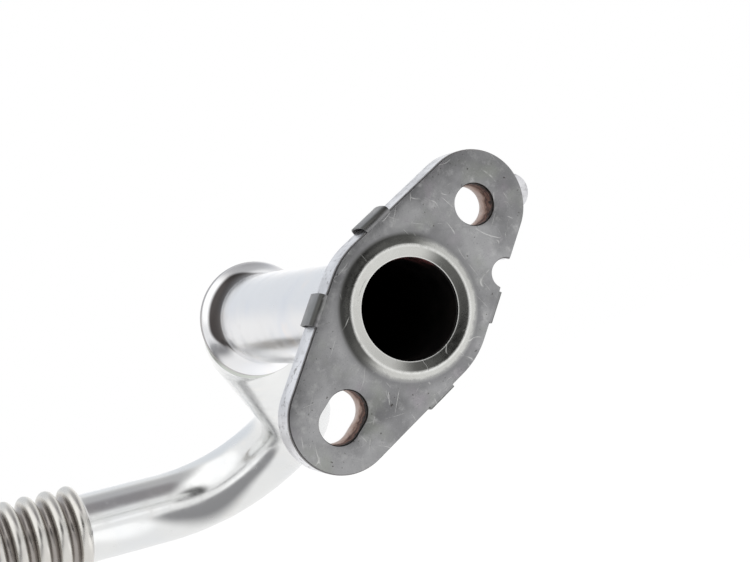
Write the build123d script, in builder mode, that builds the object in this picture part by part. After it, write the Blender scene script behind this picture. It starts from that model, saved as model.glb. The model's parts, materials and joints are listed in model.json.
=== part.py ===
from build123d import *
import os
from math import asin, cos, degrees, radians, sin

os.makedirs("parts", exist_ok=True)

# Turbo oil return pipe, in millimetres, lying on a level surface at Z = 0.
# A two-bolt flange with a clipped-on sheet gasket carries a straight inlet tube.
# The inlet tube meets a bent tube at a double rolled ring, and the bent tube
# ends in a stretch of convolutions and a plain outlet elbow.

# Where the sealing face lies when the pipe rests on the ground
face_x = 58.38
face_y = -97.55
face_z = 20.08
face_lean = 11.1          # the sealing face looks this many degrees below level
hole_line_turn = 55.6     # the line through the bolt holes, from upright

# Tube
tube_od = 18.0
tube_wall = 1.0
tube_or = tube_od / 2
tube_ir = tube_or - tube_wall

# Flange plate
plate_thickness = 5.0
hole_spacing = 40.0
bolt_hole_d = 6.6
slot_travel = 2.2         # how much longer than wide the lower hole is
plate_end_r = 8.8
plate_waist_r = 13.6
plate_edge_break = 0.3
corner_round = 0.6        # on the corners of the plate's outline
ear_r = 3.0               # rounded ear on one corner of the upper end
ear_along = 5.5           # from the round bolt hole to the middle of the ear
ear_across = -4.3
notch_r = 2.4
notch_along = 14.0        # from the bore towards the round bolt hole
notch_across = -10.6
braze_gap = 0.05          # between a tube and the hole it is brazed into

# Braze fillet behind the flange
fillet_leg = 2.4

# Sheet gasket with a pressed bead and four folded tabs
sheet = 0.4
gasket_setback = 0.2      # the gasket stops this far inside the plate's edge
gasket_hole_clearance = 0.15
bead_crest_r = 10.15
bead_half_width = 1.55
bead_height = 0.55
bead_flat = 0.5           # width of the bead's flattened crest
tab_width = 5.2
tab_along = 8.4           # from the bore, along the hole line
tab_bulge = 1.1           # how far a tab stands out from the plate's edge
tab_lip = 1.3             # how far a tab reaches in behind the plate
tab_gap = 0.05            # between a tab and the back of the plate
tab_root = 0.5            # where the fold starts, outside the plate's edge
tab_fold_r = 1.0

# Double rolled ring where the inlet tube meets the bent tube
joint_depth = 85.0        # behind the sealing face
front_ring_r = 11.75
rear_ring_r = 12.6
ring_round = 1.75
ring_foot = 0.8           # leg of the slope at the foot of each ring

# Route of the bent tube, leg by leg from the joint to the convolutions.
# Each leg goes from corner to corner, along the hole line, across it and backwards.
neck_lead = 13.5
neck_along = -1.0
neck_across = -45.5
neck_back = 66.5
turn_along = -27.5
turn_across = 5.5
turn_back = 21.0
lead_along = -26.7
lead_across = 26.8
lead_back = -4.0
neck_start_r = 28.0        # bend radii at the corners
neck_end_r = 26.0
turn_end_r = 28.0

# Convolutions and outlet elbow
convolutions = 6
pitch = 5.5
crest_r = 1.6
crest_height = 2.9        # from the tube to the top of a crest
valley_floor = 1.0        # width of the flat between two crests
elbow_lead = 44.0         # from the last convolution to the corner of the elbow
elbow_run = 34.0          # from that corner to the end of the tube
elbow_angle = 43.2
elbow_r = 26.0

# The plane of the sealing face: X along the hole line, Y across, Z out of the mouth
lean = radians(face_lean)
turn = radians(hole_line_turn)
face = Plane(
    origin=(face_x, face_y, face_z),
    x_dir=(sin(turn), -sin(lean) * cos(turn), cos(lean) * cos(turn)),
    z_dir=(0, -cos(lean), -sin(lean)),
)
bore_axis = Axis(face.origin, -face.z_dir)
half_spacing = hole_spacing / 2
gasket_end_r = plate_end_r - gasket_setback
gasket_waist_r = plate_waist_r - gasket_setback
notch_at = (notch_along, notch_across)
edge_slope = asin((plate_waist_r - plate_end_r) / half_spacing)


# A plane through a tube's centre line: X is the radius and Y runs along the tube
def side_plane(start, heading):
    cross = Plane(origin=start, z_dir=heading)
    return Plane(origin=start, x_dir=cross.x_dir, z_dir=-cross.y_dir)


# The flange outline: two round ends drawn onto a rounder waist
def lozenge(end_r, waist_r):
    with BuildSketch() as outline:
        with BuildLine():
            CenterArc((-half_spacing, 0), end_r, 0, 360)
            CenterArc((0, 0), waist_r, 0, 360)
            CenterArc((half_spacing, 0), end_r, 0, 360)
        make_hull()
    return outline.sketch


# The round upper hole and the slotted lower one
def bolt_holes(radius):
    with Locations((half_spacing, 0)):
        Circle(radius, mode=Mode.SUBTRACT)
    with Locations((-half_spacing, 0)):
        SlotOverall(2 * radius + slot_travel, 2 * radius, mode=Mode.SUBTRACT)


# True where the flange outline turns a corner, at the notch and beside the ear
def sharp_corner(vertex):
    notch_gap = (Vector(vertex) - Vector(*notch_at)).length
    ear_gap = (Vector(vertex) - Vector(half_spacing + ear_along, ear_across)).length
    return min(notch_gap - notch_r, ear_gap - ear_r) < plate_edge_break


# Half the section of a rolled ring: a sloped foot, a web and a half-round crest.
# The web stands at the start, and the crest lies on the heading side of it.
def ring_section(start, heading, top_r, round_r):
    crest = top_r - round_r
    foot = tube_or + ring_foot
    seat = tube_or - tube_wall / 2
    width = 2 * round_r
    with BuildSketch(side_plane(start, heading)) as section:
        with BuildLine():
            Polyline((seat, width), (seat, -ring_foot), (tube_or, -ring_foot), (foot, 0), (crest, 0))
            CenterArc((crest, round_r), round_r, -90, 180)
            Line((crest, width), (seat, width))
        make_face()
    return section.sketch


# Flange plate, stamped from thick sheet
with BuildPart() as flange_plate:
    with BuildSketch(face) as outline:
        add(lozenge(plate_end_r, plate_waist_r))
        with Locations((half_spacing + ear_along, ear_across)):
            Circle(ear_r)
        with Locations(notch_at):
            Circle(notch_r, mode=Mode.SUBTRACT)
        corners = outline.vertices().filter_by(sharp_corner)
        fillet(corners, corner_round)
        bolt_holes(bolt_hole_d / 2)
        Circle(tube_or + braze_gap, mode=Mode.SUBTRACT)
    extrude(amount=-plate_thickness)
    rims = flange_plate.faces().filter_by(face).sort_by(bore_axis)
    chamfer(rims[0].outer_wire().edges() + rims[-1].outer_wire().edges(), plate_edge_break)

flange_plate.part.label = "flange_plate"
export_step(flange_plate.part, "parts/flange_plate.step")

# Braze fillet that holds the inlet tube in the plate
with BuildPart() as braze_fillet:
    plate_back = face.offset(-plate_thickness)
    with BuildSketch(side_plane(plate_back.origin, -face.z_dir)):
        seat_r = tube_or + braze_gap
        with BuildLine():
            Line((seat_r, 0), (seat_r + fillet_leg, 0))
            Line((seat_r + fillet_leg, 0), (seat_r, fillet_leg))
            Line((seat_r, fillet_leg), (seat_r, 0))
        make_face()
    revolve(axis=bore_axis)

braze_fillet.part.label = "braze_fillet"
export_step(braze_fillet.part, "parts/braze_fillet.step")

# Sheet gasket: a pressed bead round the bore, and four tabs folded over the plate
tab_across = (plate_waist_r - tab_along * sin(edge_slope)) / cos(edge_slope)
bead_inner_r = bead_crest_r - bead_half_width
bead_outer_r = bead_crest_r + bead_half_width

with BuildPart() as gasket:
    with BuildSketch(face):
        add(lozenge(gasket_end_r, gasket_waist_r))
        with Locations(notch_at):
            Circle(notch_r + gasket_setback, mode=Mode.SUBTRACT)
        bolt_holes(bolt_hole_d / 2 + gasket_hole_clearance)
        Circle(bead_outer_r, mode=Mode.SUBTRACT)
        Circle(bead_inner_r)
        Circle(tube_ir + gasket_hole_clearance, mode=Mode.SUBTRACT)
    extrude(amount=sheet)
    with BuildSketch(side_plane(face.origin, face.z_dir)):
        with BuildLine():
            for rise in (0, sheet):
                Polyline(
                    (bead_inner_r, rise),
                    (bead_crest_r - bead_flat / 2, bead_height + rise),
                    (bead_crest_r + bead_flat / 2, bead_height + rise),
                    (bead_outer_r, rise),
                )
            Line((bead_inner_r, 0), (bead_inner_r, sheet))
            Line((bead_outer_r, 0), (bead_outer_r, sheet))
        make_face()
    revolve(axis=bore_axis)
    for along_side in (1, -1):
        for across_side in (1, -1):
            heading = across_side * (90 - degrees(edge_slope) * along_side)
            seat = Pos(along_side * tab_along, across_side * tab_across, 0)
            fold = Plane(face.location * seat * Rot(0, 0, heading) * Rot(90, 0, 0))
            front = sheet / 2
            back = -plate_thickness - tab_gap - sheet / 2
            with BuildSketch(fold):
                with BuildLine():
                    FilletPolyline(
                        (-tab_lip, front),
                        (tab_root, front),
                        (tab_bulge - sheet / 2, (front + back) / 2),
                        (tab_root, back),
                        (-tab_lip, back),
                        radius=tab_fold_r,
                    )
                trace(line_width=sheet)
            extrude(amount=tab_width / 2, both=True)

gasket.part.label = "gasket"
export_step(gasket.part, "parts/gasket.step")

# Straight inlet tube, which ends in the front half of the rolled ring
ring_width = 2 * ring_round
with BuildPart() as inlet_tube:
    with BuildSketch(face):
        Circle(tube_or)
        Circle(tube_ir, mode=Mode.SUBTRACT)
    extrude(amount=-joint_depth)
    front_web = face.offset(-joint_depth + ring_width)
    add(ring_section(front_web.origin, -face.z_dir, front_ring_r, ring_round))
    revolve(axis=bore_axis)

inlet_tube.part.label = "inlet_tube"
export_step(inlet_tube.part, "parts/inlet_tube.step")

# Bent tube: the rear half of the ring, three bends, the convolutions and the elbow
with BuildPart() as bent_tube:
    joint = Vector(0, 0, -joint_depth)
    neck_start = joint + Vector(0, 0, -neck_lead)
    neck_end = neck_start + Vector(neck_along, neck_across, -neck_back)
    turn_end = neck_end + Vector(turn_along, turn_across, -turn_back)
    lead_end = turn_end + Vector(lead_along, lead_across, -lead_back)
    corners = [tuple(corner) for corner in (joint, neck_start, neck_end, turn_end, lead_end)]
    with BuildLine(face) as route:
        FilletPolyline(*corners, radius=[neck_start_r, neck_end_r, turn_end_r])
    with BuildSketch(face.offset(-joint_depth)):
        Circle(tube_or)
        Circle(tube_ir, mode=Mode.SUBTRACT)
    sweep(path=route.line)
    rear_web = face.offset(-joint_depth - ring_width)
    add(ring_section(rear_web.origin, face.z_dir, rear_ring_r, ring_round))
    revolve(axis=bore_axis)

    flex = Plane(origin=route.line @ 1, x_dir=face.z_dir, z_dir=route.line % 1)
    flex_axis = Axis(flex.origin, flex.z_dir)
    crest_c = tube_or + crest_height - crest_r
    hollow_r = crest_r - tube_wall
    with BuildSketch(side_plane(flex.origin, flex.z_dir)):
        with BuildLine():
            for turn_no in range(convolutions):
                low = turn_no * pitch
                mid = low + pitch / 2
                high = low + pitch
                Polyline((tube_or, low), (tube_or, low + valley_floor / 2), (crest_c, mid - crest_r))
                CenterArc((crest_c, mid), crest_r, -90, 180)
                Polyline((crest_c, mid + crest_r), (tube_or, high - valley_floor / 2), (tube_or, high))
                Polyline(
                    (tube_ir, low),
                    (tube_ir, low + valley_floor),
                    (crest_c, mid - hollow_r),
                    (crest_c + hollow_r, mid),
                    (crest_c, mid + hollow_r),
                    (tube_ir, high - valley_floor),
                    (tube_ir, high),
                )
            Line((tube_ir, 0), (tube_or, 0))
            Line((tube_ir, convolutions * pitch), (tube_or, convolutions * pitch))
        make_face()
    revolve(axis=flex_axis)

    outlet = flex.offset(convolutions * pitch)
    bend = radians(elbow_angle)
    with BuildLine(outlet) as elbow:
        FilletPolyline(
            (0, 0, 0),
            (0, 0, elbow_lead),
            (0, -elbow_run * sin(bend), elbow_lead + elbow_run * cos(bend)),
            radius=elbow_r,
        )
    with BuildSketch(outlet):
        Circle(tube_or)
        Circle(tube_ir, mode=Mode.SUBTRACT)
    sweep(path=elbow.line)

bent_tube.part.label = "bent_tube"
export_step(bent_tube.part, "parts/bent_tube.step")
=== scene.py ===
import bmesh
import bpy
import json
import math
from mathutils import Matrix, Vector


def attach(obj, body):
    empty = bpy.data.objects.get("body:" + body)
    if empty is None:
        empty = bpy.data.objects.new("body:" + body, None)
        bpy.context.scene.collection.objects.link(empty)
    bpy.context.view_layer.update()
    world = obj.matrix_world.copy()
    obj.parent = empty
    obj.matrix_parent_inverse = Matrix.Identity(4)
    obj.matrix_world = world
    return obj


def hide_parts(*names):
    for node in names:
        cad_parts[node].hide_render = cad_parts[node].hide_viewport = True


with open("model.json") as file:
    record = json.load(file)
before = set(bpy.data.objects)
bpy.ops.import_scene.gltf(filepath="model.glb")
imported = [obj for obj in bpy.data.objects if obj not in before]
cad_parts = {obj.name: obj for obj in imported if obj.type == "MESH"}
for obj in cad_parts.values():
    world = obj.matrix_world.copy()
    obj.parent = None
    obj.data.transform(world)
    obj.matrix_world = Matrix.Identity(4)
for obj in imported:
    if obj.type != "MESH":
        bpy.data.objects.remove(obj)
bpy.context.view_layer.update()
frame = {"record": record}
print("frame loaded")


class Value:
    # a socket that can be used in sums
    def __init__(self, material, socket):
        self.material = material
        self.socket = socket

    def mathNode(self, operation, first, second=None):
        inputs = {0: first} if second is None else {0: first, 1: second}
        return self.material.node("ShaderNodeMath", {"operation": operation}, inputs)

    def __add__(self, other): return self.mathNode("ADD", self, other)
    def __radd__(self, other): return self.mathNode("ADD", other, self)
    def __sub__(self, other): return self.mathNode("SUBTRACT", self, other)
    def __rsub__(self, other): return self.mathNode("SUBTRACT", other, self)
    def __mul__(self, other): return self.mathNode("MULTIPLY", self, other)
    def __rmul__(self, other): return self.mathNode("MULTIPLY", other, self)
    def __truediv__(self, other): return self.mathNode("DIVIDE", self, other)
    def __rtruediv__(self, other): return self.mathNode("DIVIDE", other, self)
    def __abs__(self): return self.mathNode("ABSOLUTE", self)

    # how far along a direction a place lies
    def dot(self, direction):
        settings, inputs = {"operation": "DOT_PRODUCT"}, {0: self, 1: direction}
        return self.material.node("ShaderNodeVectorMath", settings, inputs, "Value")

    def least(self, other): return self.mathNode("MINIMUM", self, other)
    def most(self, other): return self.mathNode("MAXIMUM", self, other)
    def hypotenuse(self, other): return (self * self + other * other).root()
    def root(self): return self.mathNode("SQRT", self)

    # 0 below low, 1 above high, smooth between them
    def ramp(self, low, high):
        return self.material.node(
            "ShaderNodeMapRange",
            {"interpolation_type": "SMOOTHSTEP", "clamp": True},
            {"Value": self, "From Min": low, "From Max": high, "To Min": 0.0, "To Max": 1.0},
            "Result",
        )


class Nodes:
    # one material's or the world's nodes
    def __init__(self, owner):
        owner.use_nodes = True
        self.tree = owner.node_tree
        self.tree.nodes.clear()

    # any node: its type, its settings, then the values or links of its sockets
    def node(self, kind, settings=None, inputs=None, output=0):
        made = self.tree.nodes.new(kind)
        for name, value in (settings or {}).items():
            if name == "stops":
                self.setStops(made.color_ramp, value)
            else:
                setattr(made, name, value)
        for name, value in (inputs or {}).items():
            self.put(made.inputs[name], value)
        if made.outputs:
            return Value(self, made.outputs[output])

    def put(self, socket, value):
        if isinstance(value, Value):
            self.tree.links.new(value.socket, socket)
        else:
            socket.default_value = value

    def setStops(self, ramp, stops):
        while len(ramp.elements) < len(stops):
            ramp.elements.new(0.5)
        for element, (place, color) in zip(ramp.elements, stops):
            element.position = place
            element.color = color

    # whether a ray comes from the camera, and whether it was mirrored
    def rays(self):
        path = self.node("ShaderNodeLightPath").socket.node
        return [Value(self, path.outputs[name]) for name in ("Is Camera Ray", "Is Glossy Ray")]

    def place(self):
        return self.node("ShaderNodeTexCoord", None, None, "Object")

    def vector(self, first, second, third):
        return self.node("ShaderNodeCombineXYZ", None, {0: first, 1: second, 2: third})

    def noise(self, at, scale, detail, roughness=0.55, distortion=0.0):
        inputs = {"Vector": at, "Scale": scale, "Detail": detail}
        inputs |= {"Roughness": roughness, "Distortion": distortion}
        return self.node("ShaderNodeTexNoise", None, inputs)

    def bump(self, height, strength, distance):
        inputs = {"Height": height, "Strength": strength, "Distance": distance}
        return self.node("ShaderNodeBump", None, inputs)

    def metal(self, color, roughness, normal, metallic=1.0):
        inputs = {"Base Color": color, "Metallic": metallic}
        inputs |= {"Roughness": roughness, "Normal": normal}
        shader = self.node("ShaderNodeBsdfPrincipled", None, inputs)
        self.node("ShaderNodeOutputMaterial", None, {"Surface": shader})

    # two colours mixed by a mask
    def blend(self, mask, first, second):
        sockets = {0: mask, 6: first, 7: second}
        return self.node("ShaderNodeMix", {"data_type": "RGBA"}, sockets, 2)

    # a colour with layers over it, each by its mask
    def paint(self, color, layers, masks):
        for name, mask in masks.items():
            over, share, *levels = layers[name]
            if levels:
                mask = mask.ramp(*levels)
            color = self.blend(mask * share, color, over)
        return color


def newMaterial(name):
    material = bpy.data.materials.new(name)
    return material, Nodes(material)


def rgb(red, green, blue):
    return (red, green, blue, 1.0)


# World and floor: white to the camera. The lights and the darker sides of the room are seen
# only by the metal.
studio = {
    "white": rgb(1, 1, 1),
    "worldSeen": 1.0,
    "worldLight": 0.75,
    "floorColor": 0.82,
    "floorGlow": 0.85,
    "floorWhite": 1.11,
    "floorSize": 12.0,
    "cardFade": (0.65, 1.35),
}

# Cards on the floor: middle, reach and shade
floorCards = {
    "brightRight": ((0.085, -0.060), (0.050, 0.085), rgb(1.28, 1.28, 1.28)),
    "brightNear": ((0.035, 0.071), (0.009, 0.011), rgb(1.28, 1.28, 1.28)),
    "darkLeft": ((-0.048, 0.005), (0.052, 0.075), rgb(0.22, 0.22, 0.23)),
    "darkFront": ((-0.050, -0.215), (0.100, 0.100), rgb(0.10, 0.10, 0.11)),
    "darkNear": ((0.0530, 0.0765), (0.0090, 0.0105), rgb(0.26, 0.26, 0.27)),
}

# Parts of the room by azimuth, elevation, full and fading reach in degrees
room = {
    "softbox": (-125, 48, 32, 46, rgb(1.30, 1.30, 1.30)),
    "farWindow": (24, 8, 12, 32, rgb(1.20, 1.20, 1.20)),
    "dimCeiling": (95, 66, 14, 42, rgb(0.52, 0.52, 0.53)),
    "darkCeiling": (128, 46, 10, 28, rgb(0.30, 0.29, 0.30)),
    "paleSky": (-10, 44, 16, 34, rgb(0.84, 0.87, 0.91)),
    "frontWall": (-177, 9, 16, 29, rgb(0.08, 0.08, 0.08)),
}


def towards(azimuth, elevation):
    turn, lift = math.radians(azimuth), math.radians(elevation)
    flat = math.cos(lift)
    return Vector((math.sin(turn) * flat, math.cos(turn) * flat, math.sin(lift)))


def makeWorld():
    world = bpy.data.worlds.new("studio")
    bpy.context.scene.world = world
    n = Nodes(world)
    seenCamera, seenGlossy = n.rays()
    direction = n.node("ShaderNodeTexCoord", None, None, "Generated")
    seen = studio["white"]
    for azimuth, elevation, full, fading, color in room.values():
        nearness = direction.dot(towards(azimuth, elevation))
        mask = nearness.ramp(math.cos(math.radians(fading)), math.cos(math.radians(full)))
        seen = n.blend(mask * seenGlossy, seen, color)
    lit = {"Color": studio["white"], "Strength": studio["worldLight"]}
    light = n.node("ShaderNodeBackground", None, lit)
    shown = n.node("ShaderNodeBackground", None, {"Color": seen, "Strength": studio["worldSeen"]})
    share = seenCamera.most(seenGlossy)
    mixed = n.node("ShaderNodeMixShader", None, {0: share, 1: light, 2: shown})
    n.node("ShaderNodeOutputWorld", None, {"Surface": mixed})


# An oval on the floor with a soft edge
def cardMask(spot, middle, reach):
    offX = (spot.dot((1, 0, 0)) - middle[0]) / reach[0]
    offY = (spot.dot((0, 1, 0)) - middle[1]) / reach[1]
    return 1 - offX.hypotenuse(offY).ramp(*studio["cardFade"])


def makeFloor():
    bpy.ops.mesh.primitive_plane_add(size=studio["floorSize"], location=(0, 0, 0))
    floor = bpy.context.object
    floor.name = "floor"
    material, n = newMaterial("palePaper")
    seenCamera, seenGlossy = n.rays()
    spot = n.place()
    color = studio["white"]
    for middle, reach, shade in floorCards.values():
        color = n.blend(cardMask(spot, middle, reach) * seenGlossy, color, shade)
    level = studio["floorColor"]
    paper = n.node("ShaderNodeBsdfDiffuse", None, {"Color": rgb(level, level, level)})
    glow = n.node("ShaderNodeEmission", None, {"Color": color, "Strength": studio["floorWhite"]})
    share = seenCamera.most(seenGlossy) * studio["floorGlow"]
    mixed = n.node("ShaderNodeMixShader", None, {0: share, 1: paper, 2: glow})
    n.node("ShaderNodeOutputMaterial", None, {"Surface": mixed})
    floor.data.materials.append(material)


makeWorld()
makeFloor()

# Camera, a little rolled
view = {
    "place": (-0.029324, -0.324585, 0.005362),
    "right": (0.86424, -0.28329, -0.41574),
    "up": (0.36392, -0.21852, 0.90543),
    "forward": (0.34734, 0.93381, 0.08576),
    "lens": 75.17,
    "sensor": 36.0,
    "nearest": 0.01,
}


def makeCamera():
    data = bpy.data.cameras.new("camera")
    data.lens = view["lens"]
    data.sensor_width = view["sensor"]
    data.clip_start = view["nearest"]
    camera = bpy.data.objects.new("camera", data)
    bpy.context.scene.collection.objects.link(camera)
    right, up, back = Vector(view["right"]), Vector(view["up"]), -Vector(view["forward"])
    turn = Matrix((right, up, back)).transposed().to_4x4()
    camera.matrix_world = Matrix.Translation(view["place"]) @ turn
    bpy.context.scene.camera = camera


makeCamera()
bpy.context.scene.view_settings.view_transform = "Standard"
print("studio ready")


# Metres in a millimetre, how close ends have to lie to be merged, and where the flange lies
mm = 0.001
weldReach = 0.005 * mm
mounts = {mount["name"]: mount for mount in frame["record"]["mounts"]}
mouth = Vector(mounts["inlet_bore"]["pos_m"])
outward = Vector(mounts["inlet_bore"]["axis"]).normalized()
along = (Vector(mounts["upper_bolt_hole"]["pos_m"]) - mouth).normalized()
across = outward.cross(along)
faceTurn = Matrix((along, across, outward)).transposed()


# A point by its distance along the hole line, across it and out of the mouth
def facePoint(alongBy, acrossBy, outBy):
    return mouth + along * alongBy + across * acrossBy + outward * outBy


def faceVector(alongBy, acrossBy, outBy):
    return along * alongBy + across * acrossBy + outward * outBy


def deselectAll():
    bpy.ops.object.select_all(action="DESELECT")


def pick(*objects):
    deselectAll()
    for each in objects:
        each.select_set(True)
    bpy.context.view_layer.objects.active = objects[0]


def applyPlace(piece):
    pick(piece)
    bpy.ops.object.transform_apply(location=True, rotation=True, scale=True)


# Adds a modifier and applies it at once
def shape(piece, kind, settings):
    pick(piece)
    made = piece.modifiers.new(kind.lower(), kind)
    for name, value in settings.items():
        setattr(made, name, value)
    bpy.ops.object.modifier_apply(modifier=made.name)


def joinPieces(*pieces):
    pick(*pieces)
    bpy.ops.object.join()
    return bpy.context.object


# Selects the vertices that pass a test, with the piece in edit mode
def selectWhere(piece, test):
    mesh = bmesh.from_edit_mesh(piece.data)
    bpy.ops.mesh.select_all(action="DESELECT")
    for vertex in mesh.verts:
        vertex.select = test(vertex)
    mesh.select_flush(True)
    bmesh.update_edit_mesh(piece.data)


# Merges what lies double, and turns every face outwards
def weld(piece):
    pick(piece)
    bpy.ops.object.mode_set(mode="EDIT")
    bpy.ops.mesh.select_all(action="SELECT")
    bpy.ops.mesh.remove_doubles(threshold=weldReach)
    bpy.ops.mesh.normals_make_consistent(inside=False)
    bpy.ops.object.mode_set(mode="OBJECT")


def finishPiece(piece, name, node, smoothAngle):
    weld(piece)
    piece.name = name
    piece.data.name = name
    bpy.ops.object.shade_smooth_by_angle(angle=math.radians(smoothAngle))
    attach(piece, "root")
    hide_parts(node)
    print(name, "made,", len(piece.data.polygons), "faces")


class TubeRun:
    # a ring of edges that is pushed, widened and bent along a tube's line
    def __init__(self, start, heading, radius, rounds=96):
        deselectAll()
        self.center = start.copy()
        self.heading = heading.normalized()
        self.outsideFaces = math.inf
        self.radius = radius
        bpy.ops.mesh.primitive_circle_add(
            vertices=rounds,
            radius=radius,
            location=start,
            rotation=self.heading.to_track_quat("Z", "Y").to_euler(),
        )
        self.piece = bpy.context.object
        applyPlace(self.piece)
        bpy.ops.object.mode_set(mode="EDIT")
        bpy.ops.mesh.select_mode(type="EDGE")
        bpy.ops.mesh.select_all(action="SELECT")

    def push(self, distance, radius=None, aside=Vector()):
        step = self.heading * distance + aside
        bpy.ops.mesh.extrude_edges_move(TRANSFORM_OT_translate={"value": step})
        self.center = self.center + step
        if radius is not None:
            grow = radius / self.radius
            bpy.ops.transform.resize(value=(grow, grow, grow), center_override=self.center)
            self.radius = radius

    # steps are pairs of a distance from the start of the stretch and a radius, and the
    # stretch may slide aside
    def follow(self, steps, slide=Vector()):
        reached = 0.0
        length = steps[-1][0] or 1.0
        for distance, radius in steps:
            share = (distance - reached) / length
            self.push(distance - reached, radius, slide * share)
            reached = distance

    def bend(self, heading, bendRadius, degreesPerStep=2.5):
        heading = heading.normalized()
        axis = self.heading.cross(heading).normalized()
        angle = self.heading.angle(heading)
        middle = self.center + axis.cross(self.heading) * bendRadius
        steps = max(4, round(math.degrees(angle) / degreesPerStep))
        bpy.ops.mesh.spin(steps=steps, angle=-angle, center=middle, axis=axis)
        self.center = middle + Matrix.Rotation(angle, 3, axis) @ (self.center - middle)
        self.heading = heading

    # straight runs and round bends through the corners
    def route(self, corners, bendRadii):
        for number, bendRadius in enumerate(bendRadii):
            leg = corners[number + 1] - corners[number]
            nextLeg = corners[number + 2] - corners[number + 1]
            tangent = bendRadius * math.tan(leg.angle(nextLeg) / 2)
            straight = (corners[number + 1] - self.center).length - tangent
            self.push(straight)
            self.bend(nextLeg, bendRadius)
        self.push((corners[-1] - self.center).length)

    # round the end of the tube, to come back along its inside
    def turnBack(self, radius):
        self.outsideFaces = len(bmesh.from_edit_mesh(self.piece.data).faces)
        self.push(0, radius)
        self.heading = -self.heading

    # ends the run, which weld closes on its first ring, and gives the inside its own finish
    def done(self, outsideFinish, insideFinish):
        bpy.ops.object.mode_set(mode="OBJECT")
        mesh = self.piece.data
        mesh.materials.append(outsideFinish)
        mesh.materials.append(insideFinish)
        for face in mesh.polygons:
            face.material_index = int(face.index >= self.outsideFaces)
        return self.piece


# The same steps, walked from the far end
def backwards(steps, length):
    return [(length - distance, radius) for distance, radius in reversed(steps)]


# Distance and radius pairs on a circle whose middle is at the given distance and height
def arcSteps(middle, radius, fromAngle, toAngle, count, height):
    steps = []
    for number in range(1, count + 1):
        angle = math.radians(fromAngle + (toAngle - fromAngle) * number / count)
        steps.append((middle + radius * math.sin(angle), height + radius * math.cos(angle)))
    return steps


# Tubes
tube = {
    "outer": 9.0 * mm,
    "inner": 8.0 * mm,
    "lip": 0.25 * mm,
    "jointDepth": 85.0 * mm,
    "frontRing": 11.75 * mm,
    "ringRound": 1.75 * mm,
    "ringFlare": 7.5 * mm,
    "lipSteps": 4,
    "flareSteps": 12,
    "crestSteps": 16,
    "smoothAngle": 40,
}


# The outside of a rolled ring, from the plain tube up a flare and over the crest to the joint
def ringSteps(joint, topRadius, roundBy, flare):
    drop = tube["outer"] + flare - topRadius + roundBy
    start = joint - roundBy - math.sqrt((flare + roundBy) ** 2 - drop ** 2)
    slope = math.degrees(math.asin((joint - roundBy - start) / (flare + roundBy)))
    rise = arcSteps(start, flare, 180, 180 - slope, tube["flareSteps"], tube["outer"] + flare)
    over = arcSteps(joint - roundBy, roundBy, -slope, 90, tube["crestSteps"], topRadius - roundBy)
    return [(start, tube["outer"])] + rise + over


def makeInletTube():
    depth = tube["jointDepth"]
    lip, lipSteps = tube["lip"], tube["lipSteps"]
    seat = tube["outer"] - lip
    inner = tube["inner"]
    ring = ringSteps(depth, tube["frontRing"], tube["ringRound"], tube["ringFlare"])
    run = TubeRun(mouth, -outward, seat)
    run.follow(arcSteps(lip, lip, -90, 0, lipSteps, seat) + ring)
    run.turnBack(inner)
    flared = arcSteps(depth - lip, lip, 0, 90, lipSteps, inner + lip)
    run.follow([(depth - lip, inner)] + [(far, 2 * (inner + lip) - size) for far, size in flared])
    run.push(0, seat)
    piece = run.done(finish["brightTube"], finish["boreShadeAndSoot"])
    finishPiece(piece, "inletTube", "inlet_tube", tube["smoothAngle"])


# Route of the bent tube, leg by leg along the hole line, across it and backwards
bentTube = {
    "ring": 10.9 * mm,
    "ringRound": 1.8 * mm,
    "ringFlare": 3.0 * mm,
    "ringSlide": (-2.2, -3.0, 0),
    "corners": [
        (-2.2, -3.0, -97.0),
        (-0.3, -46.1, -165.2),
        (-28.5, -40.0, -186.0),
        (-55.2, -13.2, -182.0),
    ],
    "bendRadii": (21.0 * mm, 31.0 * mm, 28.0 * mm),
    "flexEarlier": 2.9 * mm,
    "convolutions": 6,
    "pitch": 5.5 * mm,
    "crestRadius": 1.6 * mm,
    "crestHeight": 2.9 * mm,
    "valleySteps": 7,
    "crestSteps": 14,
    "elbowLead": 44.0 * mm,
    "elbowRun": 34.0 * mm,
    "elbowAngle": 43.2,
    "elbowRadius": 26.0 * mm,
}


# One wall of the convolutions: distance and radius pairs from the plain tube on
def convolutionSteps(base, wall):
    crest = bentTube["crestRadius"] - wall
    valley = bentTube["pitch"] / 2 - bentTube["crestRadius"] + wall
    crestMiddle = tube["outer"] + bentTube["crestHeight"] - bentTube["crestRadius"]
    valleyMiddle = base + valley
    valleySteps = bentTube["valleySteps"]
    steps = []
    for number in range(bentTube["convolutions"]):
        low = number * bentTube["pitch"]
        high = low + bentTube["pitch"]
        middle = (low + high) / 2
        steps += arcSteps(low, valley, 180, 90, valleySteps, valleyMiddle)
        steps += arcSteps(middle, crest, -90, 90, bentTube["crestSteps"], crestMiddle)
        steps += [(high - valley, valleyMiddle)]
        steps += arcSteps(high, valley, -90, -180, valleySteps, valleyMiddle)
    return steps


# Where the convolutions start, and which way they run
def flexLine():
    last, end = [facePoint(*[size * mm for size in corner]) for corner in bentTube["corners"][-2:]]
    heading = (end - last).normalized()
    return end - heading * bentTube["flexEarlier"], heading


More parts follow.
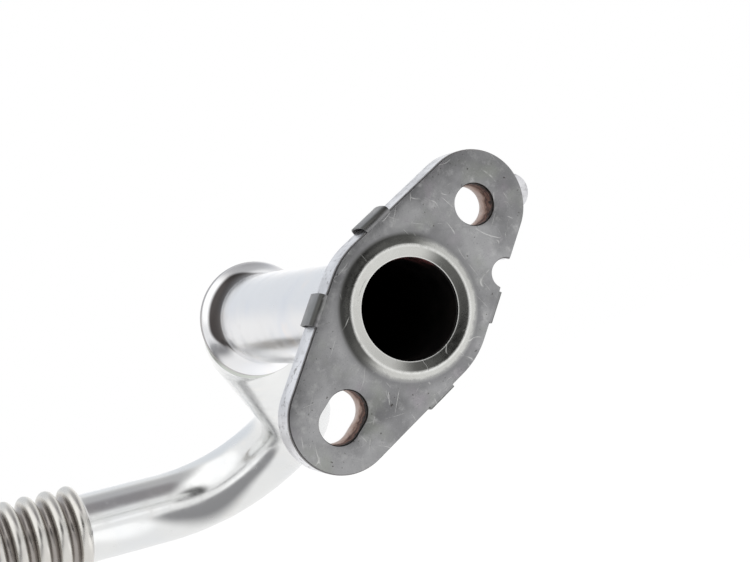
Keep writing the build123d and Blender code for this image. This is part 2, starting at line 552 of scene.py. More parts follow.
def makeBentTube():
    joint = facePoint(0, 0, -tube["jointDepth"])
    slide = faceVector(*[size * mm for size in bentTube["ringSlide"]])
    ring = ringSteps(0, bentTube["ring"], bentTube["ringRound"], bentTube["ringFlare"])
    ring = backwards(ring, 0)
    ringEnd = ring[-1][0]
    corners = [joint + slide - outward * ringEnd]
    corners += [facePoint(*[size * mm for size in corner]) for corner in bentTube["corners"]]
    corners[-1], flexHeading = flexLine()
    flexEnd = corners[-1] + flexHeading * bentTube["convolutions"] * bentTube["pitch"]
    flexAcross = flexHeading.cross(outward - flexHeading * outward.dot(flexHeading)).normalized()
    elbowTurn = math.radians(bentTube["elbowAngle"])
    tailHeading = flexHeading * math.cos(elbowTurn) - flexAcross * math.sin(elbowTurn)
    elbowCorner = flexEnd + flexHeading * (bentTube["flexEarlier"] + bentTube["elbowLead"])
    tailEnd = elbowCorner + tailHeading * bentTube["elbowRun"]
    flexLength = bentTube["convolutions"] * bentTube["pitch"]
    wall = tube["outer"] - tube["inner"]
    seat = bentTube["ring"] - bentTube["ringRound"]
    run = TubeRun(joint, -outward, seat)
    run.follow(ring, slide)
    run.route(corners, bentTube["bendRadii"])
    run.follow(convolutionSteps(tube["outer"], 0.0))
    run.route([flexEnd, elbowCorner, tailEnd], [bentTube["elbowRadius"]])
    run.turnBack(tube["inner"])
    run.route([tailEnd, elbowCorner, flexEnd], [bentTube["elbowRadius"]])
    insideSteps = backwards(convolutionSteps(tube["inner"], wall), flexLength)[1:]
    run.follow(insideSteps + [(flexLength, tube["inner"])])
    run.route(corners[::-1], bentTube["bendRadii"][::-1])
    run.push(ringEnd, tube["inner"], -slide)
    run.push(0, seat)
    piece = run.done(finish["brightTube"], finish["boreShadeAndSoot"])
    finishPiece(piece, "bentTube", "bent_tube", tube["smoothAngle"])
    print("outlet end at", [round(size / mm, 2) for size in tailEnd])


# How corners and edges are rounded, with angles in degrees
rounding = {
    "upright": 0.999,
    "cornerAngle": 20,
    "cornerSegments": 4,
    "edgeAngle": 40,
    "flatAngle": 1,
    "clear": 1.0 * mm,
}


# A short cylinder that stands on the sealing face, from one height to another
def addRound(alongBy, acrossBy, radius, low, high, rounds=128):
    deselectAll()
    bpy.ops.mesh.primitive_cylinder_add(
        vertices=rounds,
        radius=radius,
        depth=high - low,
        location=facePoint(alongBy, acrossBy, (low + high) / 2),
        rotation=faceTurn.to_euler(),
    )
    piece = bpy.context.object
    applyPlace(piece)
    return piece


def hullOf(*pieces):
    piece = joinPieces(*pieces)
    bpy.ops.object.mode_set(mode="EDIT")
    bpy.ops.mesh.select_all(action="SELECT")
    bpy.ops.mesh.convex_hull()
    bpy.ops.mesh.select_all(action="SELECT")
    bpy.ops.mesh.dissolve_limited(angle_limit=math.radians(rounding["flatAngle"]))
    bpy.ops.object.mode_set(mode="OBJECT")
    return piece


def combine(piece, other, operation):
    shape(piece, "BOOLEAN", {"operation": operation, "object": other, "solver": "EXACT"})
    bpy.data.objects.remove(other)


def cutRound(piece, alongBy, acrossBy, radius, low, high, rounds=128):
    combine(piece, addRound(alongBy, acrossBy, radius, low, high, rounds), "DIFFERENCE")


# Rounds the sharp corners of an outline, where its side walls meet
def roundCorners(piece, width):
    pick(piece)
    bpy.ops.object.mode_set(mode="EDIT")
    bpy.ops.mesh.select_mode(type="EDGE")
    bpy.ops.mesh.select_all(action="DESELECT")
    mesh = bmesh.from_edit_mesh(piece.data)
    for edge in mesh.edges:
        way = (edge.verts[1].co - edge.verts[0].co).normalized()
        upright = abs(way.dot(outward)) > rounding["upright"]
        edge.select = upright and edge.calc_face_angle(0) > math.radians(rounding["cornerAngle"])
    bmesh.update_edit_mesh(piece.data)
    bpy.ops.mesh.bevel(offset=width, segments=rounding["cornerSegments"], affect="EDGES")
    bpy.ops.object.mode_set(mode="OBJECT")


def softenEdges(piece, width, segments=3):
    limits = {"limit_method": "ANGLE", "angle_limit": math.radians(rounding["edgeAngle"])}
    shape(piece, "BEVEL", {"width": width, "segments": segments, **limits})


def dress(piece, material):
    piece.data.materials.clear()
    piece.data.materials.append(material)


# Flange plate
flange = {
    "spacing": 2 * (Vector(mounts["upper_bolt_hole"]["pos_m"]) - mouth).length,
    "hole": mounts["upper_bolt_hole"]["dims"]["r_mm"] * mm,
    "slotTravel": 2.2 * mm,
    "thickness": mounts["upper_bolt_hole"]["dims"]["length_mm"] * mm,
    "endRadius": 8.8 * mm,
    "waistRadius": 13.6 * mm,
    "ear": (5.5 * mm, -4.3 * mm, 3.0 * mm),
    "notch": (14.0 * mm, -10.6 * mm, 2.4 * mm),
    "tubeHole": 9.05 * mm,
    "corner": 0.6 * mm,
    "edge": 0.3 * mm,
    "holeRounds": 96,
    "smoothAngle": 40,
}


def addLozenge(endRadius, waistRadius, low, high):
    half = flange["spacing"] / 2
    ends = [addRound(side * half, 0, endRadius, low, high) for side in (-1, 1)]
    return hullOf(addRound(0, 0, waistRadius, low, high), *ends)


# Cuts the round hole and the slot through a plate
def cutBoltHoles(piece, radius, low, high):
    half = flange["spacing"] / 2
    travel = flange["slotTravel"] / 2
    rounds = flange["holeRounds"]
    cutRound(piece, half, 0, radius, low, high, rounds)
    ends = [addRound(-half + side * travel, 0, radius, low, high, rounds) for side in (-1, 1)]
    combine(piece, hullOf(*ends), "DIFFERENCE")


def makeFlangePlate():
    deep = -flange["thickness"]
    low, high = deep - rounding["clear"], rounding["clear"]
    piece = addLozenge(flange["endRadius"], flange["waistRadius"], deep, 0)
    earAlong, earAcross, earRadius = flange["ear"]
    notchAlong, notchAcross, notchRadius = flange["notch"]
    half = flange["spacing"] / 2
    combine(piece, addRound(half + earAlong, earAcross, earRadius, deep, 0), "UNION")
    cutRound(piece, notchAlong, notchAcross, notchRadius, low, high)
    roundCorners(piece, flange["corner"])
    softenEdges(piece, flange["edge"])
    cutBoltHoles(piece, flange["hole"], low, high)
    cutRound(piece, 0, 0, flange["tubeHole"], low, high)
    dress(piece, finish["zincPlate"])
    finishPiece(piece, "flangePlate", "flange_plate", flange["smoothAngle"])


# Sheet gasket
gasket = {
    "sheet": 0.4 * mm,
    "setback": 0.2 * mm,
    "holeClearance": 0.15 * mm,
    "boreHole": 8.15 * mm,
    "beadCrest": 9.95 * mm,
    "beadInside": 1.80 * mm,
    "beadOutside": 1.65 * mm,
    "beadHeight": 0.6 * mm,
    "beadFoot": 0.05 * mm,
    "beadSteps": 30,
    "beadRounds": 128,
    "tabWidth": 5.2 * mm,
    "tabAlong": 8.4 * mm,
    "tabBulge": 0.95 * mm,
    "tightTabBulge": 0.4 * mm,
    "tabSheet": 0.3 * mm,
    "tabLip": 1.3 * mm,
    "tabRoot": 0.1 * mm,
    "tabGap": 0.05 * mm,
    "foldSteps": 18,
    "edge": 0.06 * mm,
    "edgeSegments": 2,
    "smoothAngle": 35,
}


# The pressed bead: up the edge of the bore hole, over the ridge, a little past its foot into
# the flat sheet, and back underneath
def makeBead():
    sheet = gasket["sheet"]
    inner = gasket["boreHole"]
    outer = gasket["beadCrest"] + gasket["beadOutside"] + gasket["beadFoot"]
    steps = gasket["beadSteps"]
    ridge = []
    for number in range(steps + 1):
        radius = inner + (outer - inner) * number / steps
        fromCrest = radius - gasket["beadCrest"]
        away = max(fromCrest / gasket["beadOutside"], -fromCrest / gasket["beadInside"])
        nearness = max(0.0, 1 - away)
        swell = 0.5 * nearness + 0.5 * nearness * nearness * (3 - 2 * nearness)
        ridge.append((gasket["beadHeight"] * swell, radius))
    run = TubeRun(mouth, outward, inner, gasket["beadRounds"])
    run.follow([(rise + sheet, radius) for rise, radius in ridge] + ridge[::-1])
    return run.done(finish["wornSheet"], finish["wornSheet"])


# A tab that is folded round the edge of the plate
def makeTab(alongSide, acrossSide):
    half = flange["spacing"] / 2
    slope = math.asin((flange["waistRadius"] - flange["endRadius"]) / half)
    tabAcross = (flange["waistRadius"] - gasket["tabAlong"] * math.sin(slope)) / math.cos(slope)
    turn = acrossSide * (math.pi / 2 - slope * alongSide)
    away = along * math.cos(turn) + across * math.sin(turn)
    sideways = outward.cross(away)
    seat = facePoint(alongSide * gasket["tabAlong"], acrossSide * tabAcross, 0)
    front = gasket["sheet"] / 2
    back = -flange["thickness"] - gasket["sheet"] / 2 - gasket["tabGap"]
    lip, root = gasket["tabLip"], gasket["tabRoot"]
    deselectAll()
    middle = seat + away * (root - lip) / 2 + outward * front
    turned = Matrix((away, sideways, outward)).transposed().to_euler()
    bpy.ops.mesh.primitive_plane_add(size=1, location=middle, rotation=turned)
    piece = bpy.context.object
    piece.scale = (root + lip, gasket["tabWidth"], 1)
    applyPlace(piece)
    bpy.ops.object.mode_set(mode="EDIT")
    bpy.ops.mesh.select_mode(type="VERT")
    selectWhere(piece, lambda v: (v.co - middle).dot(away) > 0)
    fold = gasket["tabBulge"] if acrossSide > 0 else gasket["tightTabBulge"]
    path = [(root, front)]
    for number in range(1, gasket["foldSteps"] + 1):
        angle = math.radians(90 - 180 * number / gasket["foldSteps"])
        bulge = (fold - root) * max(0.0, math.cos(angle)) ** 0.5
        path.append((root + bulge, (front + back) / 2 + (front - back) / 2 * math.sin(angle)))
    path.append((-lip, back))
    for (fromOut, fromUp), (toOut, toUp) in zip(path, path[1:]):
        step = away * (toOut - fromOut) + outward * (toUp - fromUp)
        bpy.ops.mesh.extrude_edges_move(TRANSFORM_OT_translate={"value": step})
    bpy.ops.mesh.select_all(action="SELECT")
    bpy.ops.mesh.normals_make_consistent(inside=False)
    bpy.ops.object.mode_set(mode="OBJECT")
    shape(piece, "SOLIDIFY", {"thickness": gasket["tabSheet"], "offset": 0})
    softenEdges(piece, gasket["edge"], gasket["edgeSegments"])
    return piece


def makeGasket():
    low, high = -rounding["clear"], rounding["clear"]
    setback = gasket["setback"]
    notchAlong, notchAcross, notchRadius = flange["notch"]
    ends, waist = flange["endRadius"] - setback, flange["waistRadius"] - setback
    piece = addLozenge(ends, waist, 0, gasket["sheet"])
    cutRound(piece, notchAlong, notchAcross, notchRadius + setback, low, high)
    roundCorners(piece, flange["corner"])
    cutBoltHoles(piece, flange["hole"] + gasket["holeClearance"], low, high)
    softenEdges(piece, gasket["edge"], gasket["edgeSegments"])
    cutRound(piece, 0, 0, gasket["beadCrest"] + gasket["beadOutside"], low, high)
    tabs = [makeTab(alongSide, acrossSide) for alongSide in (1, -1) for acrossSide in (1, -1)]
    for each in [piece, *tabs]:
        dress(each, finish["wornSheet"])
    whole = joinPieces(piece, makeBead(), *tabs)
    finishPiece(whole, "sheetGasket", "gasket", gasket["smoothAngle"])


# Braze metal, a little uneven, behind the plate
braze = {
    "leg": 2.4 * mm,
    "lumps": 0.35 * mm,
    "lumpSize": 2.5 * mm,
    "lumpMiddle": 0.7,
    "arcSteps": 12,
    "smoothAngle": 60,
}


def makeBrazeFillet():
    leg = braze["leg"]
    seat = flange["tubeHole"]
    run = TubeRun(facePoint(0, 0, -flange["thickness"]), -outward, seat)
    hollow = arcSteps(leg, leg, -90, -180, braze["arcSteps"], seat + leg)
    run.follow([(0, seat + leg)] + hollow + [(0, seat)])
    piece = run.done(finish["brazeMetal"], finish["brazeMetal"])
    weld(piece)
    lumps = bpy.data.textures.new("brazeLumps", "CLOUDS")
    lumps.noise_scale = braze["lumpSize"]
    displace = {"texture": lumps, "strength": braze["lumps"], "mid_level": braze["lumpMiddle"]}
    shape(piece, "DISPLACE", displace)
    finishPiece(piece, "brazeFillet", "braze_fillet", braze["smoothAngle"])


# Distances in millimetres along the hole line, across it and out of the mouth
def faceSpot(n):
    place = n.place()
    return [(place.dot(way) - mouth.dot(way)) / mm for way in (along, across, outward)]


# How much a place round the hole line lies towards an angle, from -1 to 1
def facing(first, second, fromAxis, angle):
    turn = math.radians(angle)
    return (first * math.cos(turn) + second * math.sin(turn)) / fromAxis


# In each finish below, a noise has a scale, a detail and at times a roughness and a distortion.
# A layer has a colour and its full share, and over a noise also the levels at which it starts
# and is full.
brightTube = {
    "color": rgb(0.80, 0.80, 0.81),
    "noises": {
        "cloud": (45.0, 3.0),
        "patch": (110.0, 4.0, 0.6),
        "grain": (900.0, 4.0, 0.65),
        "haze": (260.0, 5.0, 0.7),
    },
    "layers": {
        "coolTint": (rgb(0.72, 0.74, 0.79), 1.0, 0.42, 0.68),
        "warmTint": (rgb(0.86, 0.81, 0.78), 0.7, 0.55, 0.75),
        "grain": (rgb(0.45, 0.44, 0.46), 0.35, 0.62, 0.8),
        "plainTint": (rgb(0.79, 0.795, 0.78), 0.65),
        "satin": (rgb(0.66, 0.64, 0.60), 0.8),
        # painted shade deep in the valleys of the convolutions
        "valleyShade": (rgb(0.16, 0.13, 0.12), 0.62),
        "dull": (rgb(0.46, 0.49, 0.44), 0.75),
        # painted dark reflection in the corner of the front ring, on one side
        "paintedDarkReflection": (rgb(0.035, 0.028, 0.026), 0.96),
        # painted shade: a thin dark line round the front ring's outer edge
        "paintedEdgeShade": (rgb(0.16, 0.13, 0.12), 0.6),
    },
    "roughness": 0.17,
    "roughnessSpread": 0.12,
    "hazeLevels": (0.4, 0.75),
    "flexRoughness": 0.10,
    "relief": (0.35, 0.10, 1.2),
    "bump": (0.30, 0.00010),
}

# Where the finish of the convolutions starts and is full, and the radii of their valleys
flexMarks = {
    "starts": 0.3,
    "full": 1.2,
    "valleyTop": (9.2, 10.9),
    "valleyBottom": (7.0, 8.5),
}


# The stretch of the convolutions, and how deep a place lies in their valleys
def flexMasks(place):
    start, heading = flexLine()
    aside = heading.orthogonal().normalized()
    third = heading.cross(aside)
    forward, sideways, upwards = [
        (place.dot(way) - start.dot(way)) / mm for way in (heading, aside, third)
    ]
    fromAxis = sideways.hypotenuse(upwards)
    length = bentTube["convolutions"] * bentTube["pitch"] / mm
    starts, full = flexMarks["starts"], flexMarks["full"]
    inside = forward.ramp(starts, full) * (1 - forward.ramp(length - full, length - starts))
    shallow = fromAxis.ramp(*flexMarks["valleyTop"])
    return inside, inside * (1 - shallow) * fromAxis.ramp(*flexMarks["valleyBottom"])


# Marks round the joint: distances from the joint and from the tube's line, and shares of a side
ringMarks = {
    "joint": (-0.1, 0.1),
    "ringStart": (7.0, 8.3),
    # where the painted dark reflection lies, by side and by distance from the tube's line
    "reflectionAngle": 104,
    "reflectionSide": (0.3, 0.6),
    "wideSide": (0.45, 0.85),
    "reflectionRadius": 9.35,
    "wideBy": 1.2,
    "reflectionFade": (-0.3, 0.3),
    "edge": (11.55, 11.68),
    "rearRing": (-6.5, -4.5),
}


# Painted dark reflection in the corner of the front ring, wide on one side, a thin line of
# painted shade round the ring's edge, everything behind the joint, and the dull rear ring
def ringMasks(n):
    first, second, third = faceSpot(n)
    fromAxis = first.hypotenuse(second)
    fromJoint = third + tube["jointDepth"] / mm
    beforeJoint = fromJoint.ramp(*ringMarks["joint"])
    nearRing = beforeJoint * (1 - fromJoint.ramp(*ringMarks["ringStart"]))
    side = facing(first, second, fromAxis, ringMarks["reflectionAngle"])
    limit = ringMarks["reflectionRadius"] + side.ramp(*ringMarks["wideSide"]) * ringMarks["wideBy"]
    outside = (fromAxis - limit).ramp(*ringMarks["reflectionFade"])
    # painted dark reflection in the flare's corner, wider on one side
    paintedDarkReflection = (1 - outside) * side.ramp(*ringMarks["reflectionSide"]) * nearRing
    # a thin line of painted shade round the ring's outer edge
    edge = fromAxis.ramp(*ringMarks["edge"]) * nearRing
    behind = 1 - beforeJoint
    return paintedDarkReflection, edge, behind, behind * fromJoint.ramp(*ringMarks["rearRing"])


def makeBrightTube():
    material, n = newMaterial("brightTube")
    place = n.place()
    flex, valley = flexMasks(place)
    paintedDarkReflection, edge, behind, rear = ringMasks(n)
    cloud, patch, grain, haze = [n.noise(place, *row) for row in brightTube["noises"].values()]
    masks = {
        "coolTint": cloud,
        "warmTint": patch,
        "grain": grain,
        "plainTint": behind,
        "satin": flex,
        "valleyShade": valley,
        "dull": rear,
        "paintedDarkReflection": paintedDarkReflection,
        "paintedEdgeShade": edge,
    }
    color = n.paint(brightTube["color"], brightTube["layers"], masks)
    spread = haze.ramp(*brightTube["hazeLevels"]) * brightTube["roughnessSpread"]
    roughness = brightTube["roughness"] + spread + flex * brightTube["flexRoughness"]
    hazeHigh, grainHigh, cloudHigh = brightTube["relief"]
    height = haze * hazeHigh + grain * grainHigh + cloud * cloudHigh
    n.metal(color, roughness, n.bump(height, *brightTube["bump"]))
    return material


# The film lies on one side of the bore, just inside the mouth
boreShadeAndSoot = {
    # near-black base: painted shade inside the bore, with soot and a film over it
    "color": rgb(0.004, 0.003, 0.003),
    "noises": {"soot": (300.0, 4.0, 0.6), "film": (420.0, 3.0)},
    "layers": {
        "soot": (rgb(0.012, 0.009, 0.008), 1.0, 0.4, 0.7),
        "redFilm": (rgb(0.16, 0.05, 0.05), 0.8),
    },
    "filmSide": (0.86, 0.51),
    "filmEdge": (6.6, 7.8),
    "filmDepth": (-5.0, -1.5),
    "filmLevels": (0.3, 0.55),
    "metallic": 0.6,
    "roughness": 0.45,
    "roughnessSpread": 0.3,
    "bump": (0.3, 0.0002),
}


def makeBoreShadeAndSoot():
    material, n = newMaterial("boreShadeAndSoot")
    first, second, third = faceSpot(n)
    place = n.place()
    soot, film = [n.noise(place, *row) for row in boreShadeAndSoot["noises"].values()]
    sideAlong, sideAcross = boreShadeAndSoot["filmSide"]
    side = (first * sideAlong + second * sideAcross).ramp(*boreShadeAndSoot["filmEdge"])
    redFilm = side * third.ramp(*boreShadeAndSoot["filmDepth"]) * film.ramp(*boreShadeAndSoot["filmLevels"])
    masks = {"soot": soot, "redFilm": redFilm}
    color = n.paint(boreShadeAndSoot["color"], boreShadeAndSoot["layers"], masks)
    roughness = boreShadeAndSoot["roughness"] + soot * boreShadeAndSoot["roughnessSpread"]
    n.metal(color, roughness, n.bump(soot, *boreShadeAndSoot["bump"]), boreShadeAndSoot["metallic"])
    return material


# Scratches: angle, stretch, width and seed
wornSheet = {
    "color": rgb(0.33, 0.33, 0.335),
    "dark": rgb(0.20, 0.20, 0.205),
    "darkLevels": (0.35, 0.65),
    "darkGrainLevels": (0.28, 0.42),
    "noises": {"cloud": (0.09, 4.0, 0.6), "mottle": (0.55, 5.0, 0.65), "grain": (4.5, 4.0, 0.7)},
    "tintNoise": (0.13, 3.0),
    "otherTintNoise": (0.16, 3.0),
    "speckNoise": (1.9, 2.0, 0.5),
    "noiseShifts": (40, 70, 20),
    "layers": {
        "mottle": (rgb(0.48, 0.48, 0.48), 0.8, 0.50, 0.78),
        "olive": (rgb(0.31, 0.33, 0.28), 0.35, 0.52, 0.70),
        "violet": (rgb(0.35, 0.31, 0.35), 0.3, 0.55, 0.72),
        "grain": (rgb(0.48, 0.48, 0.48), 0.5, 0.55, 0.80),
        "specks": (rgb(0.04, 0.035, 0.03), 0.9, 0.70, 0.76),
        "bead": (rgb(0.60, 0.60, 0.57), 0.75),
        # a darker ring just outside the bead's crest, all round
        "darkRing": (rgb(0.20, 0.20, 0.205), 0.7),
        "shade": (rgb(0.06, 0.06, 0.055), 0.90),
        # worn crest, partly a painted highlight, and a painted highlight on the bore's rim
        "wearAndHighlight": (rgb(0.72, 0.72, 0.70), 0.8),
        "scratches": (rgb(0.72, 0.72, 0.70), 0.5),
    },
    "scratches": [
        (25, 0.25, 0.006, 3.0),
        (-50, 0.3, 0.005, 11.0),
        (80, 0.22, 0.004, 29.0),
        (10, 0.5, 0.004, 47.0),
    ],
    "scratchNoise": (0.16, 1.0, 0.4, 0.15),
    "gapNoise": (0.35, 2.0),
    "gapLevels": (0.50, 0.62),
    "tab": rgb(0.19, 0.19, 0.19),
    "tabShare": 0.75,
    "rootShare": 0.85,
    "metallic": 0.9,
    "roughness": 0.30,
    "mottleLevels": (0.35, 0.7),
    "roughnessSpread": (0.16, 0.10, 0.08),
    "relief": (0.5, 0.35, 0.6),
    "bump": (0.5, 0.00010),
}

# Marks round the bead by distance from its crest
beadSpans = {
    "pale": (1.2, 1.7),
    "darkRingStarts": (0.7, 1.3),
    "darkRingEnds": (1.6, 3.2),
    "outerSlope": (0.0, 0.35),
    "innerSlope": (-0.35, 0.0),
    "shadeEnds": (1.5, 2.3),
}

# Marks by distance from the bore's line and from the plate's face, and by side
beadMarks = {
    "wornCrestHighlight": (0.0, 0.40),
    "crestHighlightLevels": (0.3, 0.5),
    "rimHighlight": (8.2, 8.35),
    "unevenBy": 1.2,
    "crestHighlightUneven": 0.3,
    "outerAngle": 100,
    "outerSide": (0.0, 0.45),
    "innerAngle": 288,
    "innerSide": (-0.15, 0.40),
    "top": (-0.4, 0.0),
    "face": (0.28, 0.37),
    "root": (-0.9, -0.2),
}


# Hairlines in one main direction, broken up along their length
def scratchLines(n, first, second, third, turnBy, stretch, width, seed):
    turned = math.radians(turnBy)
    lengthwise = first * math.cos(turned) + second * math.sin(turned)
    crosswise = second * math.cos(turned) - first * math.sin(turned)
    at = n.vector(lengthwise * stretch + seed, crosswise, third + seed)
    level = n.noise(at, *wornSheet["scratchNoise"])
    line = 1 - (abs(level - 0.5) / width).ramp(0.0, 1.0)
    gapsAt = n.vector(first + seed * 2, second - seed, third)
    return line * n.noise(gapsAt, *wornSheet["gapNoise"]).ramp(*wornSheet["gapLevels"])


# The bead, a darker ring round it, painted highlights on its worn crest and rim, painted shade on
# its slopes
def beadMasks(first, second, third, mottle):
    fromBore = first.hypotenuse(second)
    crest = gasket["beadCrest"] / mm
    spans = {name: [crest + size for size in span] for name, span in beadSpans.items()}
    top = third.ramp(*beadMarks["top"])
    uneven = (mottle - 0.5) * beadMarks["unevenBy"]
    bead = (1 - fromBore.ramp(*spans["pale"])) * top
    ragged = fromBore + uneven
    darkRing = ragged.ramp(*spans["darkRingStarts"]) * (1 - ragged.ramp(*spans["darkRingEnds"]))
    # worn crest, partly a painted highlight
    fromCrest = abs(fromBore - crest) + uneven * beadMarks["crestHighlightUneven"]
    wornCrestHighlight = (1 - fromCrest.ramp(*beadMarks["wornCrestHighlight"])) * mottle.ramp(*beadMarks["crestHighlightLevels"])
    # painted highlight on the rim of the bore hole
    rimHighlight = 1 - fromBore.ramp(*beadMarks["rimHighlight"])
    side = facing(first, second, fromBore, beadMarks["outerAngle"])
    otherSide = facing(first, second, fromBore, beadMarks["innerAngle"])
    outer = side.ramp(*beadMarks["outerSide"]) * fromBore.ramp(*spans["outerSlope"])
    inner = otherSide.ramp(*beadMarks["innerSide"]) * (1 - fromBore.ramp(*spans["innerSlope"]))
    shaded = outer.most(inner) * (1 - fromBore.ramp(*spans["shadeEnds"])) * top
    return {"bead": bead, "darkRing": darkRing, "shade": shaded, "wearAndHighlight": wornCrestHighlight.most(rimHighlight)}


def makeWornSheet():
    material, n = newMaterial("wornSheet")
    first, second, third = faceSpot(n)
    at = n.vector(first, second, third)
    shiftTint, shiftOther, shiftSpecks = wornSheet["noiseShifts"]
    cloud, mottle, grain = [n.noise(at, *row) for row in wornSheet["noises"].values()]
    tint = n.noise(n.vector(first + shiftTint, second, third), *wornSheet["tintNoise"])
    otherTint = n.noise(n.vector(first, second + shiftOther, third), *wornSheet["otherTintNoise"])
    specks = n.noise(n.vector(first, second, third + shiftSpecks), *wornSheet["speckNoise"])
    layers = wornSheet["layers"]
    color = n.blend(cloud.ramp(*wornSheet["darkLevels"]), wornSheet["dark"], wornSheet["color"])
    masks = {"mottle": mottle, "olive": tint, "violet": otherTint, "grain": grain}
    color = n.paint(color, layers, masks)
    color = n.blend(grain.ramp(*wornSheet["darkGrainLevels"]), wornSheet["dark"], color)
    scratches = [scratchLines(n, first, second, third, *row) for row in wornSheet["scratches"]]
    lines = scratches[0]
    for more in scratches[1:]:
        lines = lines.most(more)
    marks = beadMasks(first, second, third, mottle)
    color = n.paint(color, layers, {"specks": specks, **marks, "scratches": lines})
    shade = layers["shade"][0]
    # tabs darker, with painted shade at their root where they fold away
    tab = n.blend(wornSheet["tabShare"], color, wornSheet["tab"])
    tab = n.blend(third.ramp(*beadMarks["root"]) * wornSheet["rootShare"], tab, shade)
    color = n.blend(third.ramp(*beadMarks["face"]), tab, color)
    mottleRough, beadSmooth, lineSmooth = wornSheet["roughnessSpread"]
    spread = mottle.ramp(*wornSheet["mottleLevels"]) * mottleRough
    roughness = wornSheet["roughness"] + spread - marks["bead"] * beadSmooth - lines * lineSmooth
    mottleHigh, grainHigh, lineDeep = wornSheet["relief"]
    height = mottle * mottleHigh + grain * grainHigh - lines * lineDeep
    n.metal(color, roughness, n.bump(height, *wornSheet["bump"]), wornSheet["metallic"])
    return material


# Colour in the holes goes by depth, as a share of the plate's thickness: near-black by the
# front face, rust-brown between, pale towards the back
zincPlate = {
    "color": rgb(0.62, 0.62, 0.64),
    "noises": {"cloud": (0.16, 3.0), "mottle": (0.9, 5.0, 0.7), "grain": (5.0, 4.0, 0.7)},
    "layers": {
        "pale": (rgb(0.82, 0.82, 0.84), 1.0, 0.35, 0.65),
        "mottle": (rgb(0.16, 0.15, 0.15), 0.75, 0.56, 0.70),
        "shearMarks": (rgb(0.16, 0.15, 0.15), 0.4, 0.55, 0.75),
        "grain": (rgb(0.30, 0.27, 0.25), 0.4, 0.60, 0.80),
        # painted shadow in the gap between the plate and the gasket
        "seam": (rgb(0.16, 0.15, 0.15), 0.85),
        "rustGrain": (rgb(0.10, 0.05, 0.035), 0.45, 0.55, 0.75),
    },
    "shearNoise": (1.0, 3.0, 0.6),
    "shearStretch": (1.6, 0.18),
    "rustNoise": (0.75, 5.0, 0.65),
    "rustShift": 33,
    "rustUneven": 0.9,
    "rustThickness": -5.0,
    "rustReach": (0.15, 1.1),
    "rustLevels": (0.18, 0.36),
    "seamDepth": (-0.55, -0.25),
    "seamClear": 0.4,
    "holeDepths": [
        (0.00, rgb(0.010, 0.007, 0.006)),
        (0.14, rgb(0.035, 0.020, 0.016)),
        (0.26, rgb(0.260, 0.140, 0.105)),
        (0.38, rgb(0.080, 0.042, 0.032)),
        (0.50, rgb(0.420, 0.280, 0.225)),
        (0.70, rgb(0.740, 0.590, 0.530)),
        (1.00, rgb(0.860, 0.780, 0.740)),
    ],
    "rustMetallic": 0.9,
    "roughness": 0.34,
    "rustRoughness": 0.35,
    "mottleRoughness": 0.15,
    "mottleLevels": (0.4, 0.7),
    "relief": (0.5, 0.25, 0.4),
    "bump": (0.5, 0.00015),
}


# Near the bolt holes, and painted shadow along the front edge except at the ear
def plateMasks(first, second, third):
    half = flange["spacing"] / 2 / mm
    travel = flange["slotTravel"] / 2 / mm
    earAlong, earAcross, earRadius = [size / mm for size in flange["ear"]]
    roundHole = (first - half).hypotenuse(second)
    slotHole = (abs(first + half) - travel).most(0.0).hypotenuse(second)
    fromHole = roundHole.least(slotHole) - flange["hole"] / mm
    nearHole = 1 - fromHole.ramp(*zincPlate["rustReach"])
    fromEar = (first - half - earAlong).hypotenuse(second - earAcross)
    clearOfEar = fromEar.ramp(earRadius, earRadius + zincPlate["seamClear"])
    return nearHole, third.ramp(*zincPlate["seamDepth"]) * clearOfEar


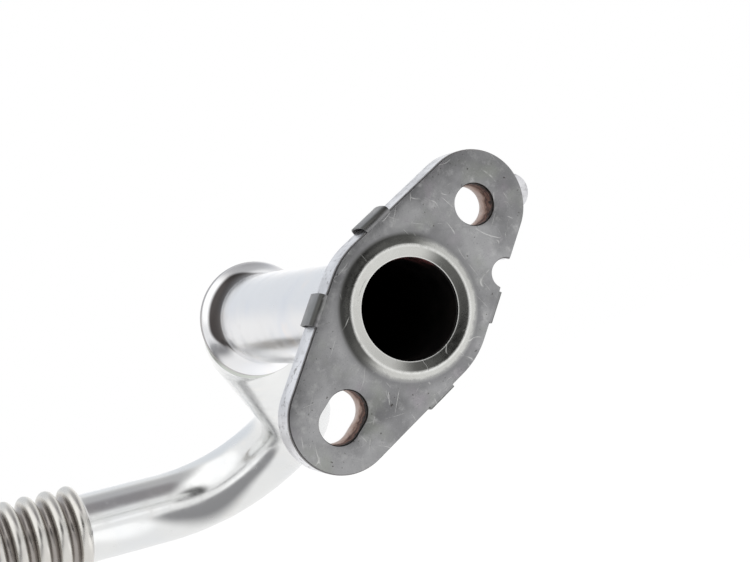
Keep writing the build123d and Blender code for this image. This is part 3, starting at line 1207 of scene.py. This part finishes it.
def makeZincPlate():
    material, n = newMaterial("zincPlate")
    first, second, third = faceSpot(n)
    at = n.vector(first, second, third)
    nearHole, seam = plateMasks(first, second, third)
    cloud, mottle, grain = [n.noise(at, *row) for row in zincPlate["noises"].values()]
    sideways, through = zincPlate["shearStretch"]
    shearAt = n.vector(first * sideways, second * sideways, third * through)
    shearMarks = n.noise(shearAt, *zincPlate["shearNoise"])
    layers = zincPlate["layers"]
    masks = {"pale": cloud, "mottle": mottle, "shearMarks": shearMarks}
    masks |= {"grain": grain, "seam": seam}
    color = n.paint(zincPlate["color"], layers, masks)
    rustAt = n.vector(first, second, third + zincPlate["rustShift"])
    rustCloud = n.noise(rustAt, *zincPlate["rustNoise"])
    depth = third / zincPlate["rustThickness"] + (rustCloud - 0.5) * zincPlate["rustUneven"]
    rust = n.node("ShaderNodeValToRGB", {"stops": zincPlate["holeDepths"]}, {"Fac": depth})
    rust = n.paint(rust, layers, {"rustGrain": grain})
    rusty = nearHole * mottle.ramp(*zincPlate["rustLevels"])
    color = n.blend(rusty, color, rust)
    spread = mottle.ramp(*zincPlate["mottleLevels"]) * zincPlate["mottleRoughness"]
    roughness = zincPlate["roughness"] + rusty * zincPlate["rustRoughness"] + spread
    mottleHigh, grainHigh, shearHigh = zincPlate["relief"]
    height = mottle * mottleHigh + grain * grainHigh + shearMarks * shearHigh + rusty * rustCloud
    metallic = 1 - rusty * zincPlate["rustMetallic"]
    n.metal(color, roughness, n.bump(height, *zincPlate["bump"]), metallic)
    return material


brazeMetal = {
    "color": rgb(0.12, 0.10, 0.08),
    "noises": {"cloud": (180.0, 4.0), "grain": (1300.0, 4.0, 0.65)},
    "layers": {
        "brass": (rgb(0.42, 0.36, 0.25), 1.0, 0.38, 0.55),
        "pale": (rgb(0.60, 0.57, 0.50), 1.0, 0.55, 0.75),
        "grain": (rgb(0.12, 0.10, 0.08), 0.5, 0.55, 0.75),
    },
    "metallic": 0.9,
    "roughness": 0.32,
    "roughnessSpread": 0.3,
    "bump": (0.5, 0.0002),
}


def makeBrazeMetal():
    material, n = newMaterial("brazeMetal")
    place = n.place()
    cloud, grain = [n.noise(place, *row) for row in brazeMetal["noises"].values()]
    masks = {"brass": cloud, "pale": cloud, "grain": grain}
    color = n.paint(brazeMetal["color"], brazeMetal["layers"], masks)
    roughness = brazeMetal["roughness"] + grain * brazeMetal["roughnessSpread"]
    n.metal(color, roughness, n.bump(grain + cloud, *brazeMetal["bump"]), brazeMetal["metallic"])
    return material


finish = {
    "brightTube": makeBrightTube(),
    "boreShadeAndSoot": makeBoreShadeAndSoot(),
    "wornSheet": makeWornSheet(),
    "zincPlate": makeZincPlate(),
    "brazeMetal": makeBrazeMetal(),
}
print("finishes ready")

makeInletTube()
makeBentTube()
makeFlangePlate()
makeGasket()
makeBrazeFillet()
